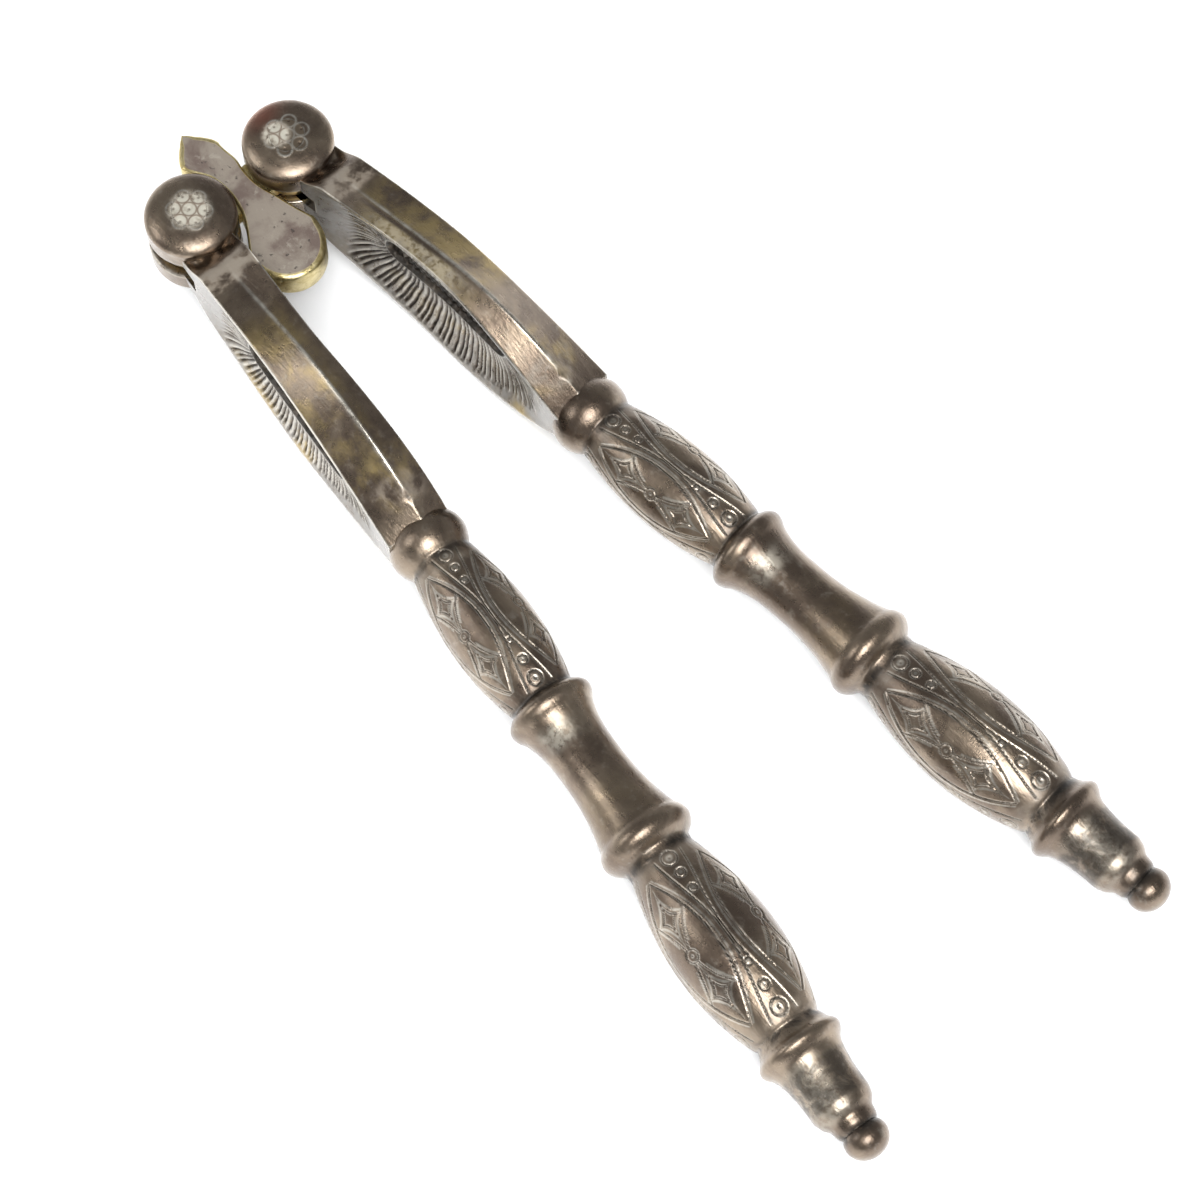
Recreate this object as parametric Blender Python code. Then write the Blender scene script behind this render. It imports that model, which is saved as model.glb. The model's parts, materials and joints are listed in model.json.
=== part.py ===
"""Two-lever table nutcracker, reversible, cast brass under worn silver plate.

Frame: +Z up along the two hinge rivets, +X from the hinge towards the handle ends,
origin under the middle of the object's box.  The levers are the same casting: the
left one is the right one turned over about its own length.

Each lever is drawn in its own frame: origin on its rivet's axis, +X along the lever,
+Y away from the other lever, +Z along the rivet.  All lengths are metres.
"""

import math

import bmesh
import bpy
import numpy as np

MM = 0.001

# Hinge
PIVOT_SPACING = 16.3 * MM      # between the two rivet axes
REST_SPREAD = math.radians(6.1)  # each lever leans out this far at rest
LINK_TURN = math.radians(0.3)  # the link rests turned a little between the levers
AXIS_INWARD = 0.40 * MM        # jaw and handle lie this far inward of the rivet's axis
HEAD_RADIUS = 6.10 * MM        # round fork head
DOME_BASE = 4.3 * MM           # the head's side wall ends here, the dome starts
DOME_TOP = 6.3 * MM
SLOT_HALF = 1.5 * MM           # fork slot for the link's eye
SLOT_REACH = 8.0 * MM          # slot end, from the rivet's axis
RIVET_RADIUS = 2.25 * MM
RIVET_RISE = 0.1 * MM          # rivet end stands this far above the dome
FIT_GAP = 0.3 * MM             # rivet to its holes, eye to the slot's walls

# Link
LINK_HALF = 2.3 * MM           # half thickness of the middle web
EYE_HALF = 1.2 * MM            # half thickness of the eyes inside the forks
EYE_RADIUS = 5.0 * MM
COVE_RADIUS = 6.5 * MM         # web is hollowed round each head
LOBE_END = 15.5 * MM           # rounded end between the jaws
LOBE_HALF_WIDTH = 5.2 * MM
LOBE_CORNER = 9.4 * MM         # distance of the lobe's widest place from the middle
TIP_END = 10.9 * MM            # pointed end
TIP_HALF_WIDTH = 3.1 * MM
TIP_CORNER = 7.0 * MM
TIP_LEAN = 1.1 * MM            # point and lobe lean towards the left lever, as cast
LOBE_LEAN = 0.8 * MM
LEAN_FROM = 3.0 * MM           # the lean starts this far from the link's middle
SHANK_HALF_WIDTH = 2.6 * MM    # neck between the web and each eye
LINK_EDGE = 0.45 * MM          # rounding along the web's edges

# Jaw: distances along the lever from the rivet's axis, and across it from the handle's axis
JAW_START = 3.6 * MM
JAW_END = 52.4 * MM
INNER_FULLEST = 30.5 * MM      # where the large-nut face is tallest
INNER_HALF_HEIGHT = 10.5 * MM
OUTER_FULLEST = 27.5 * MM      # where the small-nut face is tallest
OUTER_HALF_HEIGHT = 8.4 * MM
RIDGE_FULLEST = 33.5 * MM      # where the roof's ridge is highest
RIDGE_HALF_HEIGHT = 11.2 * MM
INNER_HEAD_HEIGHT = 6.3 * MM   # half heights at the head end and at the ring end
OUTER_HEAD_HEIGHT = 4.4 * MM
RIDGE_HEAD_HEIGHT = 5.7 * MM
FACE_RING_HEIGHT = 2.5 * MM
RIDGE_RING_HEIGHT = 4.9 * MM
WAIST_SHARE = 0.68             # the jaw is this much lower where it leaves the head
WAIST_FROM = 5.0 * MM
WAIST_TO = 9.5 * MM
INNER_NARROWEST = 23.5 * MM    # station where the inner face is nearest the axis
INNER_REACH_HEAD = 2.7 * MM    # axis to the inner face's rim
INNER_REACH_MIDDLE = 2.35 * MM
INNER_REACH_RING = 4.1 * MM
OUTER_NARROWEST = 35.5 * MM
OUTER_REACH_HEAD = 4.6 * MM    # axis to the outer face's rim
OUTER_REACH_MIDDLE = 4.8 * MM
OUTER_REACH_RING = 4.85 * MM
RIDGE_CENTRED = 32.5 * MM
RIDGE_OUT_HEAD = 0.9 * MM      # the ridge wanders from the outer to the inner side
RIDGE_OUT_MIDDLE = 0.1 * MM
RIDGE_OUT_RING = -0.3 * MM
INNER_BOWL = 2.2 * MM          # hollow of the large-nut face
OUTER_BOWL = 1.1 * MM
RECESS_MIDDLE = 29.0 * MM      # long recess along the middle of each face
RECESS_LENGTH = 22.0 * MM
RECESS_HALF_HEIGHT = 2.2 * MM
RECESS_DEPTH = 0.7 * MM
RIM_BORDER = 0.6 * MM          # plain border of each face

# Handle: stations along the lever from the ring's middle, and radii
RING_STATION = 53.95 * MM      # ring's middle, from the rivet's axis
RING_RADIUS = 5.33 * MM
RING_HALF_WIDTH = 2.7 * MM
NECK_RADIUS = 4.25 * MM
BULB1_FROM, BULB1_TO, BULB1_RADIUS = 2.7 * MM, 25.4 * MM, 5.85 * MM
RIM1_AT, RIM1_RADIUS, RIM1_HALF = 26.9 * MM, 5.95 * MM, 1.5 * MM
SPOOL_AT, SPOOL_RADIUS = 35.5 * MM, 4.2 * MM
SPOOL_END1, SPOOL_END2 = 5.3 * MM, 5.7 * MM  # its radii where it flares into the rims
RIM2_AT, RIM2_RADIUS, RIM2_HALF = 47.4 * MM, 6.4 * MM, 1.6 * MM
BULB2_FROM, BULB2_TO, BULB2_RADIUS = 50.6 * MM, 76.6 * MM, 6.9 * MM
BULB2_NECK = 4.5 * MM
LIP_AT, LIP_RADIUS = 79.3 * MM, 5.9 * MM
CUP_RADIUS = 4.15 * MM
CUP_FROM, CUP_TO = 84.0 * MM, 87.4 * MM
COLLAR_AT, COLLAR_RADIUS = 90.3 * MM, 2.95 * MM
GROOVE_AT, GROOVE_RADIUS = 91.4 * MM, 2.45 * MM
BALL_AT, BALL_RADIUS = 92.6 * MM, 2.95 * MM
HANDLE_END = 95.1 * MM

ROUND_SEGMENTS = 24            # round the handle
HEAD_SEGMENTS = 40             # round the head, the rivets and the link's eyes
JAW_STATIONS = 33
FACE_POINTS = 9                # across each jaw face

SMOOTH_ANGLE = math.radians(35)


def smooth_step(t):
    """Ease from 0 to 1 with flat ends."""
    t = min(1.0, max(0.0, t))
    return t * t * (3.0 - 2.0 * t)


def blend(a, b, t):
    return a + (b - a) * t


def three_point(x, middle, v_start, v_middle, v_end):
    """A smooth curve along the jaw through three values, level at the middle one."""
    if x <= middle:
        return blend(v_start, v_middle, smooth_step((x - JAW_START) / (middle - JAW_START)))
    return blend(v_middle, v_end, smooth_step((x - middle) / (JAW_END - middle)))


def arch(x, middle, v_start, v_middle, v_end, powers):
    """An arch along the jaw, falling from v_middle faster towards each end."""
    if x <= middle:
        away = (middle - x) / (middle - JAW_START)
        return v_middle - (v_middle - v_start) * away ** powers[0]
    away = min(1.0, (x - middle) / (JAW_END - middle))
    return v_middle - (v_middle - v_end) * away ** powers[1]


# ---------------------------------------------------------------- jaw section

def inner_reach(x):
    return three_point(x, INNER_NARROWEST, INNER_REACH_HEAD, INNER_REACH_MIDDLE, INNER_REACH_RING)


def outer_reach(x):
    return three_point(x, OUTER_NARROWEST, OUTER_REACH_HEAD, OUTER_REACH_MIDDLE, OUTER_REACH_RING)


def ridge_place(x):
    return three_point(x, RIDGE_CENTRED, RIDGE_OUT_HEAD, RIDGE_OUT_MIDDLE, RIDGE_OUT_RING)


def waist(x):
    """Share of its height that the jaw keeps where it leaves the head."""
    return blend(WAIST_SHARE, 1.0, smooth_step((x - WAIST_FROM) / (WAIST_TO - WAIST_FROM)))


def inner_height(x):
    return waist(x) * arch(x, INNER_FULLEST, INNER_HEAD_HEIGHT, INNER_HALF_HEIGHT, FACE_RING_HEIGHT, (1.4, 1.9))


def outer_height(x):
    return waist(x) * arch(x, OUTER_FULLEST, OUTER_HEAD_HEIGHT, OUTER_HALF_HEIGHT, FACE_RING_HEIGHT, (1.7, 1.5))


def ridge_height(x):
    if x < RIDGE_FULLEST:
        return waist(x) * three_point(x, RIDGE_FULLEST, RIDGE_HEAD_HEIGHT, RIDGE_HALF_HEIGHT, 0.0)
    return arch(x, RIDGE_FULLEST, 0.0, RIDGE_HALF_HEIGHT, RIDGE_RING_HEIGHT, (1.0, 2.0))


def face_share(x):
    """0 at the plain tips of the faces, 1 along their middle."""
    from_tip = min(x - (SLOT_REACH - 1.5 * MM), JAW_END - 1.5 * MM - x)
    return smooth_step(from_tip / (9.0 * MM))


def bowl_depth(x, z, height, bowl):
    """How far a face is hollowed at a height z above the lever's plane."""
    share = face_share(x)
    inside = max(0.0, 1.0 - abs(z) / max(height - RIM_BORDER, 1e-6))
    depth = bowl * share * math.sin(0.5 * math.pi * min(1.0, 1.6 * inside))
    recess = 1.0 - abs(x - RECESS_MIDDLE) / (0.5 * RECESS_LENGTH + 1.0 * MM)
    across = 1.0 - abs(z) / (RECESS_HALF_HEIGHT + 0.5 * MM)
    if recess > 0.0 and across > 0.0:
        depth += RECESS_DEPTH * min(1.0, 3.0 * recess) * min(1.0, 2.0 * across)
    return depth


def face_heights(height):
    """Heights across a face from its lower rim to its upper rim."""
    return [height * math.sin(0.5 * math.pi * t) for t in np.linspace(-1.0, 1.0, FACE_POINTS)]


def jaw_section(x):
    """One closed outline across the jaw, as (y, z) points."""
    yi, yo = inner_reach(x) + AXIS_INWARD, outer_reach(x) - AXIS_INWARD
    hi, ho = inner_height(x), outer_height(x)
    ridge_y, ridge_z = ridge_place(x) - AXIS_INWARD, ridge_height(x)
    points = [(-yi + bowl_depth(x, z, hi, INNER_BOWL), z) for z in face_heights(hi)]
    points.append((ridge_y, ridge_z))
    points += [(yo - bowl_depth(x, z, ho, OUTER_BOWL), z) for z in reversed(face_heights(ho))]
    points.append((ridge_y, -ridge_z))
    return points


# ---------------------------------------------------------------- handle profile

def bead(at, half_width, radius, foot_before, foot_after, count=9):
    """A rounded bead, as (station, radius) points from foot to foot."""
    points = []
    for i in range(count):
        t = -1.0 + 2.0 * i / (count - 1)
        foot = foot_before if t < 0 else foot_after
        points.append((at + half_width * t, foot + (radius - foot) * math.cos(0.5 * math.pi * t)))
    return points


def bulb(start, end, end_radius, radius, lean, count=13):
    """A long swelling; lean above 1 moves its fullest place towards the far end."""
    points = []
    for i in range(1, count):
        t = i / count
        swell = math.sin(math.pi * t ** lean) ** 0.8
        points.append((start + (end - start) * t, end_radius + (radius - end_radius) * swell))
    return points


def hollow(x0, r0, x1, r1, count, power):
    """A flaring curve from (x0, r0) to (x1, r1), steepest at x1."""
    return [(blend(x0, x1, i / count), blend(r0, r1, (i / count) ** power))
            for i in range(1, count)]


def handle_profile():
    """The turned handle from inside the jaw to the ball's end."""
    p = [(-6.0 * MM, 0.0), (-6.0 * MM, 2.2 * MM), (-RING_HALF_WIDTH - 0.3 * MM, 3.6 * MM)]
    p += bead(0.0, RING_HALF_WIDTH, RING_RADIUS, 4.3 * MM, NECK_RADIUS)
    p += bulb(BULB1_FROM, BULB1_TO, NECK_RADIUS, BULB1_RADIUS, 1.08)
    p.append((BULB1_TO, NECK_RADIUS + 0.1 * MM))
    p += bead(RIM1_AT, RIM1_HALF, RIM1_RADIUS, NECK_RADIUS + 0.3 * MM, SPOOL_END1, 7)[1:]
    p += reversed(hollow(SPOOL_AT, SPOOL_RADIUS, RIM1_AT + RIM1_HALF, SPOOL_END1, 5, 3.0))
    p.append((SPOOL_AT, SPOOL_RADIUS))
    p += hollow(SPOOL_AT, SPOOL_RADIUS, RIM2_AT - RIM2_HALF, SPOOL_END2, 5, 2.2)
    p += bead(RIM2_AT, RIM2_HALF, RIM2_RADIUS, SPOOL_END2, 5.5 * MM, 5)
    p.append((BULB2_FROM, BULB2_NECK + 0.15 * MM))
    p += bulb(BULB2_FROM, BULB2_TO, BULB2_NECK, BULB2_RADIUS, 1.07)
    p.append((BULB2_TO, BULB2_NECK - 0.1 * MM))
    p += [(LIP_AT - 1.3 * MM, 5.0 * MM), (LIP_AT - 0.35 * MM, LIP_RADIUS - 0.12 * MM),
          (LIP_AT + 0.25 * MM, LIP_RADIUS), (LIP_AT + 0.9 * MM, LIP_RADIUS - 0.45 * MM)]
    p += [(LIP_AT + 1.6 * MM, CUP_RADIUS + 0.6 * MM), (LIP_AT + 3.0 * MM, CUP_RADIUS + 0.2 * MM)]
    p.append((CUP_FROM, CUP_RADIUS))
    p += [(CUP_TO, CUP_RADIUS), (CUP_TO + 1.4 * MM, CUP_RADIUS - 0.35 * MM),
          (CUP_TO + 2.3 * MM, COLLAR_RADIUS + 0.1 * MM)]
    p += [(COLLAR_AT + 0.4 * MM, COLLAR_RADIUS - 0.1 * MM), (GROOVE_AT, GROOVE_RADIUS)]
    for i in range(6):
        angle = blend(math.radians(125), math.radians(0), i / 5)
        reach = HANDLE_END - BALL_AT
        p.append((BALL_AT + reach * math.cos(angle), BALL_RADIUS * math.sin(angle)))
    p[-1] = (HANDLE_END, 0.0)
    return p


# ---------------------------------------------------------------- mesh helpers

def new_object(name, bm):
    """Make an object from a bmesh, faces outward."""
    bmesh.ops.recalc_face_normals(bm, faces=bm.faces[:])
    mesh = bpy.data.meshes.new(name)
    bm.to_mesh(mesh)
    bm.free()
    obj = bpy.data.objects.new(name, mesh)
    bpy.context.scene.collection.objects.link(obj)
    return obj


def revolve(name, profile, segments, axis):
    """Turn (station, radius) points about X or Z; both ends lie on the axis."""
    bm = bmesh.new()
    rings = []
    for station, radius in profile:
        if radius < 1e-7:
            co = (station, 0, 0) if axis == "X" else (0, 0, station)
            rings.append([bm.verts.new(co)])
            continue
        ring = []
        for k in range(segments):
            a = 2.0 * math.pi * (k + 0.5) / segments
            c, s = radius * math.cos(a), radius * math.sin(a)
            ring.append(bm.verts.new((station, c, s) if axis == "X" else (c, s, station)))
        rings.append(ring)
    for low, high in zip(rings, rings[1:]):
        for k in range(segments):
            n = (k + 1) % segments
            corners = [low[k % len(low)], low[n % len(low)], high[n % len(high)], high[k % len(high)]]
            corners = list(dict.fromkeys(corners))
            bm.faces.new(corners)
    return new_object(name, bm)


def loft(name, stations, section):
    """Join closed outlines at stations along X, with flat ends."""
    bm = bmesh.new()
    rings = [[bm.verts.new((x, y, z)) for y, z in section(x)] for x in stations]
    for low, high in zip(rings, rings[1:]):
        for k in range(len(low)):
            n = (k + 1) % len(low)
            bm.faces.new((low[k], low[n], high[n], high[k]))
    bm.faces.new(rings[0])
    bm.faces.new(reversed(rings[-1]))
    return new_object(name, bm)


def prism(name, outline, low, high):
    """Raise a closed (x, y) outline from z=low to z=high."""
    bm = bmesh.new()
    bottom = [bm.verts.new((x, y, low)) for x, y in outline]
    top = [bm.verts.new((x, y, high)) for x, y in outline]
    for k in range(len(outline)):
        n = (k + 1) % len(outline)
        bm.faces.new((bottom[k], bottom[n], top[n], top[k]))
    bm.faces.new(bottom)
    bm.faces.new(top)
    return new_object(name, bm)


def disc(name, radius, low, high, x=0.0, y=0.0):
    """An upright cylinder."""
    step = 2.0 * math.pi / HEAD_SEGMENTS
    outline = [(x + radius * math.cos(k * step), y + radius * math.sin(k * step))
               for k in range(HEAD_SEGMENTS)]
    return prism(name, outline, low, high)


def combine(base, tool, operation):
    """Add a Boolean to base and use tool as its guide."""
    modifier = base.modifiers.new(tool.name, "BOOLEAN")
    modifier.operation = operation
    modifier.solver = "EXACT"
    modifier.object = tool
    tool.hide_render = True
    tool.display_type = "WIRE"


def settle(obj, tools):
    """Turn an object's modifiers into its mesh and remove its guides."""
    depsgraph = bpy.context.evaluated_depsgraph_get()
    mesh = bpy.data.meshes.new_from_object(obj.evaluated_get(depsgraph))
    obj.modifiers.clear()
    obj.data = mesh
    for tool in tools:
        bpy.data.objects.remove(tool)


def soften(mesh):
    """Drop slivers left by the Booleans, then shade round surfaces smooth."""
    bm = bmesh.new()
    bm.from_mesh(mesh)
    bmesh.ops.remove_doubles(bm, verts=bm.verts[:], dist=0.00001)
    bmesh.ops.dissolve_degenerate(bm, dist=0.000005, edges=bm.edges[:])
    bmesh.ops.recalc_face_normals(bm, faces=bm.faces[:])
    bm.to_mesh(mesh)
    bm.free()
    mesh.shade_smooth()
    mesh.set_sharp_from_angle(angle=SMOOTH_ANGLE)


def metal(name, color, roughness, metallic=1.0):
    """A plain metal material."""
    material = bpy.data.materials.new(name)
    material.use_nodes = True
    shader = material.node_tree.nodes["Principled BSDF"]
    shader.inputs["Base Color"].default_value = (*color, 1.0)
    shader.inputs["Roughness"].default_value = roughness
    shader.inputs["Metallic"].default_value = metallic
    return material


# ---------------------------------------------------------------- pieces

def dome_profile():
    """Half outline of the round head: lower dome, side wall, upper dome."""
    upper = [(DOME_BASE, HEAD_RADIUS)]
    steps = 5
    for i in range(1, steps + 1):
        a = 0.5 * math.pi * i / steps
        radius = HEAD_RADIUS * math.cos(a) ** 0.8 if i < steps else 0.0
        upper.append((DOME_BASE + (DOME_TOP - DOME_BASE) * math.sin(a), radius))
    lower = [(-z, r) for z, r in reversed(upper)]
    return lower + upper


def make_lever():
    """The whole lever in its own frame: fork head, jaw and turned handle."""
    stations = [blend(JAW_START, JAW_END, i / (JAW_STATIONS - 1)) for i in range(JAW_STATIONS)]
    lever = loft("lever", stations, jaw_section)
    head = revolve("head", dome_profile(), HEAD_SEGMENTS, "Z")
    turned = [(RING_STATION + s, r) for s, r in handle_profile()]
    handle = revolve("handle", turned, ROUND_SEGMENTS, "X")
    handle.location = (0.0, -AXIS_INWARD, 0.0)
    slot = disc("slot", SLOT_REACH, -SLOT_HALF, SLOT_HALF)
    bore = disc("bore", RIVET_RADIUS + FIT_GAP, -12 * MM, 12 * MM)
    combine(lever, head, "UNION")
    combine(lever, handle, "UNION")
    combine(lever, slot, "DIFFERENCE")
    combine(lever, bore, "DIFFERENCE")
    settle(lever, [head, handle, slot, bore])
    soften(lever.data)
    return lever


def link_lean(x):
    """How far the web leans towards the left lever at a distance x from its middle."""
    if x < 0.0:
        return TIP_LEAN * smooth_step((-x - LEAN_FROM) / (TIP_CORNER - LEAN_FROM))
    return LOBE_LEAN * smooth_step((x - LEAN_FROM) / (LOBE_CORNER - LEAN_FROM))


def link_outline():
    """The web's outline: lobe, two coves round the heads, pointed tip."""
    points = []
    half = 0.5 * PIVOT_SPACING
    lobe_angle = math.atan2(LOBE_CORNER, half - LOBE_HALF_WIDTH)
    tip_angle = math.atan2(TIP_CORNER, half - TIP_HALF_WIDTH)
    for i in range(13):
        a = blend(0.5 * math.pi, -0.5 * math.pi, i / 12)
        x = LOBE_CORNER + (LOBE_END - LOBE_CORNER) * math.cos(a) ** 0.9
        points.append((x, LOBE_HALF_WIDTH * math.sin(a)))
    lobe_reach = math.hypot(LOBE_CORNER, half - LOBE_HALF_WIDTH)
    tip_reach = math.hypot(TIP_CORNER, half - TIP_HALF_WIDTH)
    cove = []
    for i in range(1, 16):
        t = i / 16
        a = blend(lobe_angle, -tip_angle, t)
        reach = COVE_RADIUS + (lobe_reach - COVE_RADIUS) * (1 - t) ** 6
        reach += (tip_reach - COVE_RADIUS) * t ** 6
        cove.append((reach * math.sin(a), -half + reach * math.cos(a)))
    points += cove
    points.append((-TIP_CORNER, -TIP_HALF_WIDTH))
    for i in range(1, 5):
        t = i / 5
        points.append((blend(-TIP_CORNER, -TIP_END, t), -TIP_HALF_WIDTH * (1 - t ** 1.6)))
    points.append((-TIP_END, 0.0))
    for i in range(4, 0, -1):
        t = i / 5
        points.append((blend(-TIP_CORNER, -TIP_END, t), TIP_HALF_WIDTH * (1 - t ** 1.6)))
    points.append((-TIP_CORNER, TIP_HALF_WIDTH))
    points += [(x, -y) for x, y in reversed(cove)]
    return [(x, y - link_lean(x)) for x, y in points]


def make_link(material):
    """Web between the heads with a thinner eye on each side."""
    link = prism("link_plate", link_outline(), -LINK_HALF, LINK_HALF)
    bevel = link.modifiers.new("edge", "BEVEL")
    bevel.width = LINK_EDGE
    bevel.segments = 2
    bevel.limit_method = "ANGLE"
    bevel.angle_limit = math.radians(60)
    half = 0.5 * PIVOT_SPACING
    guides = []
    for side in (-1, 1):
        width = SHANK_HALF_WIDTH
        corners = [(-width, 0.0), (width, 0.0), (width, side * half), (-width, side * half)]
        shank = prism("shank", corners, -EYE_HALF, EYE_HALF)
        eye = disc("eye", EYE_RADIUS, -EYE_HALF, EYE_HALF, y=side * half)
        hole = disc("hole", RIVET_RADIUS + FIT_GAP, -EYE_HALF - MM, EYE_HALF + MM, y=side * half)
        combine(link, shank, "UNION")
        combine(link, eye, "UNION")
        combine(link, hole, "DIFFERENCE")
        guides += [shank, eye, hole]
    settle(link, guides)
    soften(link.data)
    link.data.materials.append(material)
    return link


def make_rivet():
    """Headless rivet, its ends crowned to follow the domes."""
    top = DOME_TOP + RIVET_RISE
    crown = 0.35 * MM
    profile = [(-top, 0.0), (-top + 0.05 * MM, 0.5 * RIVET_RADIUS), (-top + crown, RIVET_RADIUS),
               (top - crown, RIVET_RADIUS), (top - 0.05 * MM, 0.5 * RIVET_RADIUS), (top, 0.0)]
    rivet = revolve("rivet", profile, HEAD_SEGMENTS, "Z")
    soften(rivet.data)
    return rivet


def main():
    for obj in list(bpy.data.objects):
        bpy.data.objects.remove(obj)
    bronze = metal("worn_plate", (0.16, 0.125, 0.10), 0.38)
    brass = metal("link_brass", (0.36, 0.31, 0.22), 0.42)
    bright = metal("rivet_metal", (0.62, 0.60, 0.52), 0.35)

    link = make_link(brass)
    lever = make_lever()
    rivet = make_rivet()
    lever.data.materials.append(bronze)
    rivet.data.materials.append(bright)

    half = 0.5 * PIVOT_SPACING
    ball = RING_STATION + HANDLE_END - BALL_RADIUS
    reach = ball * math.cos(REST_SPREAD) + AXIS_INWARD * math.sin(REST_SPREAD)
    reach += BALL_RADIUS + half * math.sin(LINK_TURN)
    tip = TIP_END * math.cos(LINK_TURN) - TIP_LEAN * math.sin(LINK_TURN)
    middle = 0.5 * (tip - reach)
    height = max(abs(v.co.z) for v in lever.data.vertices)

    link.location = (middle, 0.0, height)
    link.rotation_euler = (0.0, 0.0, LINK_TURN)
    for name, side in (("right", 1), ("left", -1)):
        axle = bpy.data.objects.new(name + "_hinge", None)
        bpy.context.scene.collection.objects.link(axle)
        axle.location = (middle - side * half * math.sin(LINK_TURN),
                         side * half * math.cos(LINK_TURN), height)
        axle.rotation_euler = (0.0 if side > 0 else math.pi, 0.0, side * REST_SPREAD)
        for kind, source in (("lever", lever), ("rivet", rivet)):
            piece = bpy.data.objects.new(name + "_" + kind, source.data)
            bpy.context.scene.collection.objects.link(piece)
            piece.parent = axle
    bpy.data.objects.remove(lever)
    bpy.data.objects.remove(rivet)


main()
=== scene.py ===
"""Looks of the reversible nutcracker: toothed jaws, engraved handles, worn silver plate.

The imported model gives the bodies, the hinges and the box.  Each lever is modelled once
in its own frame, in millimetres: origin on its rivet's axis, +X along the lever, +Y away
from the other lever, +Z along the rivet.  The left lever is the same casting turned over.
"""

import json
import math

import bpy
import numpy as np
from mathutils import Matrix, Vector


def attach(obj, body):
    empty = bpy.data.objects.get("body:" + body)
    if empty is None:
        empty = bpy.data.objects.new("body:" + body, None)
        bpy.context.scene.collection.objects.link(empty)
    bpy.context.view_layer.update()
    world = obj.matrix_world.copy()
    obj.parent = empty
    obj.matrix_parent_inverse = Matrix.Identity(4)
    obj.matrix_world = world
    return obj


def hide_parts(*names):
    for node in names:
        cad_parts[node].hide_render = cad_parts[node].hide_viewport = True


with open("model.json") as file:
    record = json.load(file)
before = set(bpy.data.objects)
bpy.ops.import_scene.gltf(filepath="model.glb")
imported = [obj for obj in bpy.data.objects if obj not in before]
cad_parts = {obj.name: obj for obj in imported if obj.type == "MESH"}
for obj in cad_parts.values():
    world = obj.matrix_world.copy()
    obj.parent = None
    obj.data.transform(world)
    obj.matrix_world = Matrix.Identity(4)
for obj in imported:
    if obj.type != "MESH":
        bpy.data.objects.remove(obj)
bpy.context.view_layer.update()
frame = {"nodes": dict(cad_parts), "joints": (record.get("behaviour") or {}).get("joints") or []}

MM = 0.001
TAU = 2.0 * math.pi

# Hinge
HEAD_RADIUS = 6.05
HEAD_EDGE = 0.09               # bevel of the cheeks' lower edge
DOME_BASE = 4.3                # side wall ends, dome starts
DOME_TOP = 6.25
DOME_POWER = 2.5               # 2 is an ellipse, more is flatter on top
SLOT_HALF = 1.5                # fork slot for the link's eye
SLOT_REACH = 8.0
AXIS_INWARD = 0.40             # jaw and handle lie this far inward of the rivet's axis
RIVET_RADIUS = 2.25
RIVET_SEAM = 0.03              # fine line round the rivet's end
RIVET_RISE = 0.02              # rivet end stands this far above the dome
ROSETTE_REACH = 2.05           # centre of each petal ring from the rivet's axis
ROSETTE_RING = 0.96
ROSETTE_TURN = math.radians(8)
RING_RISE = 0.05               # punched rings stand up, the dots in them go down
DOT_DEPTH = 0.1

# Link
LINK_HALF = 2.3
EYE_HALF = 1.2
EYE_RADIUS = 5.0
EYE_BORE = 2.55
EYE_BEVEL = 0.15
SHANK_HALF_WIDTH = 2.6         # the shank runs from the web into the eye's metal
SHANK_FROM_MIDDLE = 1.2
SHANK_TO_AXIS = 3.4
COVE_RADIUS = 6.3              # the solid's is 0.2 mm wider
LOBE_END = 15.5
LOBE_HALF_WIDTH = 5.2
LOBE_CORNER = 9.4
TIP_END = 10.9
TIP_HALF_WIDTH = 3.1
TIP_CORNER = 7.0
TIP_LEAN = 1.1                 # point and lobe lean towards the left lever
LOBE_LEAN = 0.8
LEAN_FROM = 3.0
EDGE_WIDTH = 0.4               # rolled edge of the web, wider round the lobe and the tip
LOBE_EDGE_EXTRA = 0.55
TIP_EDGE_EXTRA = 0.5
EDGE_DROP = 0.62               # height of the rolled edge, as a share of its width

# Jaw, by distance along the lever from the rivet's axis
JAW_START = 3.6
JAW_END = 52.4
WAIST_SHARE = 0.68             # the jaw is this much lower where it leaves the head
WAIST_FROM, WAIST_TO = 5.0, 9.5
INNER_FULLEST = 30.5           # where the large-nut face is tallest
OUTER_FULLEST = 27.5           # where the small-nut face is tallest
RIDGE_FULLEST = 33.5           # where the roof's ridge is highest
INNER_HALF_HEIGHTS = 6.3, 10.5, 2.5    # at the head end, at the fullest place, at the ring
OUTER_HALF_HEIGHTS = 4.4, 8.4, 2.5
RIDGE_HALF_HEIGHTS = 5.7, 11.2, 4.9
INNER_FALL = 1.4, 1.9          # powers of the fall towards the head and towards the ring
OUTER_FALL = 1.7, 1.5
RIDGE_FALL = 2.0
INNER_NARROWEST = 23.5         # where the inner face is nearest the rivet's axis
OUTER_LEVEL = 35.5             # where the outer face runs level
RIDGE_CENTRED = 32.5
INNER_REACHES = 2.7, 2.35, 4.1         # head end, that place, ring
OUTER_REACHES = 4.6, 4.8, 4.85
RIDGE_PLACES = 0.9, 0.1, -0.3          # the ridge wanders from the outer to the inner side
INNER_BOWL, OUTER_BOWL = 2.2, 1.1      # hollow of each face
BOWL_BORDER = 0.6              # the hollow starts this far inside the rim
BOWL_PLAIN, BOWL_FADE = 6.5, 9.0       # no hollow before this station, all of it this far on
RECESS_MIDDLE = 29.0           # rough recess along the middle of each face
RECESS_HALF_LENGTH = 11.0
RECESS_HALF_HEIGHT = 2.15
RECESS_DEPTH = 0.75
RECESS_ROUGH = 0.16
PIT_FROM_END = 2.2             # deep pit near the recess's head end
PIT_HALF_LENGTH, PIT_HALF_HEIGHT = 1.9, 1.4
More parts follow.
